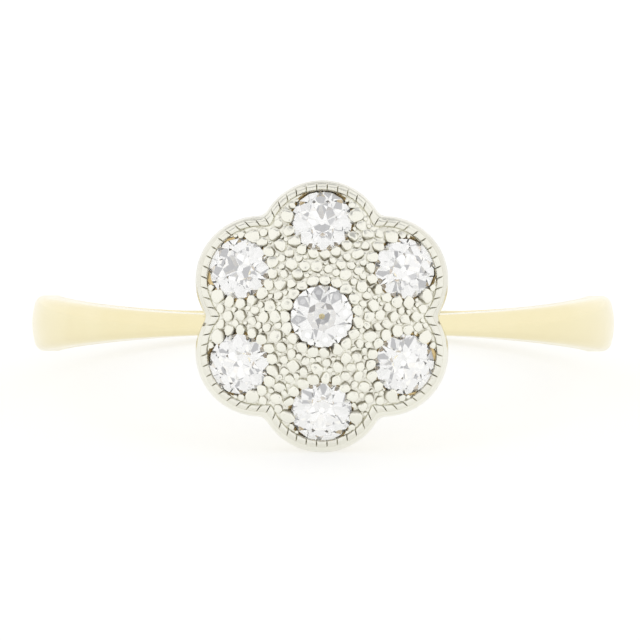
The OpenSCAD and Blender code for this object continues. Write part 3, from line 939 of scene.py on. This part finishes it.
# Grey cards in the tent for the metal and for the stones: turn from the face's side and height, in
# degrees, and width in millimetres
METAL_CARDS = [(0, 62, 170), (-75, 58, 150), (70, 66, 140), (180, 50, 200)]
STONE_CARDS = [(-22, 16, 150), (10, 36, 150), (40, 26, 140), (-60, 50, 150)]


def square_card(name, centre, normal, size, material, seen_by):
    """A flat square card, seen only by the rays that are named."""
    normal = np.array(normal) / np.linalg.norm(normal)
    side, up = tangents(normal[None])
    corners = np.array([[-1, -1], [1, -1], [1, 1], [-1, 1]]) * size / 2
    points = np.array(centre) + corners[:, :1] * side + corners[:, 1:] * up
    mesh = bpy.data.meshes.new(name)
    mesh.from_pydata(points, [], [(0, 1, 2, 3)])
    mesh.materials.append(material)
    card = bpy.data.objects.new(name, mesh)
    for ray in ALL_RAYS:
        setattr(card, f"visible_{ray}", ray in seen_by)
    bpy.context.scene.collection.objects.link(card)
    return card


def studio(ring):
    """A white tent over a pale lit floor. The metal sees a pale backdrop, the dark opening that the
    camera looks in through and grey cards. The stones see a wider grey opening and cards of their
    own, which give them their grey."""
    scene, size = bpy.context.scene, ring.studio
    tent = bpy.data.worlds.new("white_tent")
    tent.use_nodes = True
    light = tent.node_tree.nodes["Background"].inputs
    light["Strength"].default_value = size.tent
    light["Color"].default_value = (1.0, 0.995, 0.985, 1.0)
    scene.world = tent
    scene.view_settings.view_transform = "Standard"
    level = np.array([np.sin(size.azimuth), -np.cos(size.azimuth), 0])
    height = np.arcsin(FINGER_AXIS[1]) + size.elevation
    back = level * np.cos(height) + np.array([0, 0, np.sin(height)])
    up = np.array([0, 0, np.cos(height)]) - level * np.sin(height)
    aim = RING_CENTRE + size.aim_up * up - size.aim_left * ACROSS
    pale = glow("pale_card", (0.93, 0.925, 0.91))
    dark = glow("dark_opening", (0.25, 0.25, 0.25))
    grey = glow("grey_card", (0.52, 0.52, 0.53))
    behind, further = (aim + back * size.distance * share for share in (1.04, 1.05))
    square_card("floor", (0, 0, 0), (0, 0, 1), 1.6, lit_acrylic(ring.colours), ALL_RAYS)
    square_card("backdrop", (0, 0.3, 0.3), (0, -1, 0), 0.9, pale, METAL_RAYS)
    square_card("lens_opening", further, -back, 2 * size.opening, dark, METAL_RAYS)
    square_card("wide_opening", behind, -back, 4 * size.opening, grey, STONE_RAYS)
    for cards, seen_by in ((METAL_CARDS, METAL_RAYS), (STONE_CARDS, STONE_RAYS)):
        for i, (azimuth, elevation, width) in enumerate(cards):
            turn, rise = np.radians(azimuth), np.radians(elevation)
            away = np.array([np.sin(turn), -np.cos(turn), np.tan(rise)])
            away /= np.linalg.norm(away)
            name = f"grey_card_{seen_by[0]}_{i + 1}"
            square_card(name, RING_CENTRE + away * 0.4, -away, width * MM, grey, seen_by)
    view = bpy.data.cameras.new("camera")
    view.sensor_width = 36.0
    view.lens = view.sensor_width * size.distance / size.picture_w
    view.clip_start, view.clip_end = 0.01, 10.0
    camera = bpy.data.objects.new("camera", view)
    camera.location = aim + back * size.distance
    camera.rotation_mode = "QUATERNION"
    camera.rotation_quaternion = Vector(back).to_track_quat("Z", "Y")
    scene.collection.objects.link(camera)
    scene.camera = camera


# Operators, panel and the run

def made(name):
    """A material by name, made the first time that it is asked for."""
    if name in bpy.data.materials:
        return bpy.data.materials[name]
    colours = bpy.context.scene.cluster_ring.colours
    return {
        "polished_gold_18k": lambda: polished_gold(colours),
        "cast_gold_in_seats": lambda: seat_gold(colours),
        "grained_platinum": lambda: grained_platinum(colours),
        "clear_diamond": clear_brilliant,
    }[name]()


class RING_OT_shank(bpy.types.Operator):
    """Make the gold band and its gallery."""
    bl_idname = "ring.shank"
    bl_label = "Band and gallery"

    def execute(self, context):
        piece = shank(context.scene.cluster_ring, made("polished_gold_18k"))
        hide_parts("shank")
        return {"FINISHED"}


class RING_OT_plate(bpy.types.Operator):
    """Make the platinum plate: its edge, its field and its grains."""
    bl_idname = "ring.plate"
    bl_label = "Plate and grains"

    def execute(self, context):
        ring, platinum = context.scene.cluster_ring, made("grained_platinum")
        placed = grain_places(ring)
        for piece in (plate_edge(ring, platinum), field(ring, platinum, placed),
                      grains(ring, platinum, placed)):
            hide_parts("cluster_head")
        return {"FINISHED"}


class RING_OT_seats(bpy.types.Operator):
    """Make the gold seats under the stones."""
    bl_idname = "ring.seats"
    bl_label = "Seats"

    def execute(self, context):
        collars(context.scene.cluster_ring, made("cast_gold_in_seats"))
        return {"FINISHED"}


class RING_OT_stones(bpy.types.Operator):
    """Give the seven stones their finish."""
    bl_idname = "ring.stones"
    bl_label = "Stones"

    def execute(self, context):
        for name in STONE_NODES:
            mesh = frame["nodes"][name].data
            mesh.materials.clear()
            mesh.materials.append(made("clear_diamond"))
        return {"FINISHED"}


class RING_OT_studio(bpy.types.Operator):
    """Make the floor, the lights and the camera."""
    bl_idname = "ring.studio"
    bl_label = "Studio"

    def execute(self, context):
        studio(context.scene.cluster_ring)
        return {"FINISHED"}


class RING_PT_panel(bpy.types.Panel):
    """The ring's operators, in the 3D view's sidebar."""
    bl_label = "Daisy cluster ring"
    bl_idname = "RING_PT_panel"
    bl_space_type = "VIEW_3D"
    bl_region_type = "UI"
    bl_category = "Ring"

    def draw(self, context):
        for operator in OPERATORS:
            self.layout.operator(operator.bl_idname)


OPERATORS = (RING_OT_shank, RING_OT_plate, RING_OT_seats, RING_OT_stones, RING_OT_studio)
CLASSES = (
    BandSizes, HeadSizes, EdgeSizes, StoneSizes, GrainSizes, RingColours, StudioSizes, RingSettings,
    *OPERATORS, RING_PT_panel)


def register():
    for cls in CLASSES:
        bpy.utils.register_class(cls)
    bpy.types.Scene.cluster_ring = PointerProperty(type=RingSettings)


def unregister():
    del bpy.types.Scene.cluster_ring
    for cls in reversed(CLASSES):
        bpy.utils.unregister_class(cls)


def main():
    """Makes every piece and the studio."""
    register()
    bpy.ops.ring.shank()
    bpy.ops.ring.plate()
    bpy.ops.ring.seats()
    bpy.ops.ring.stones()
    bpy.ops.ring.studio()


if __name__ == "__main__":
    main()
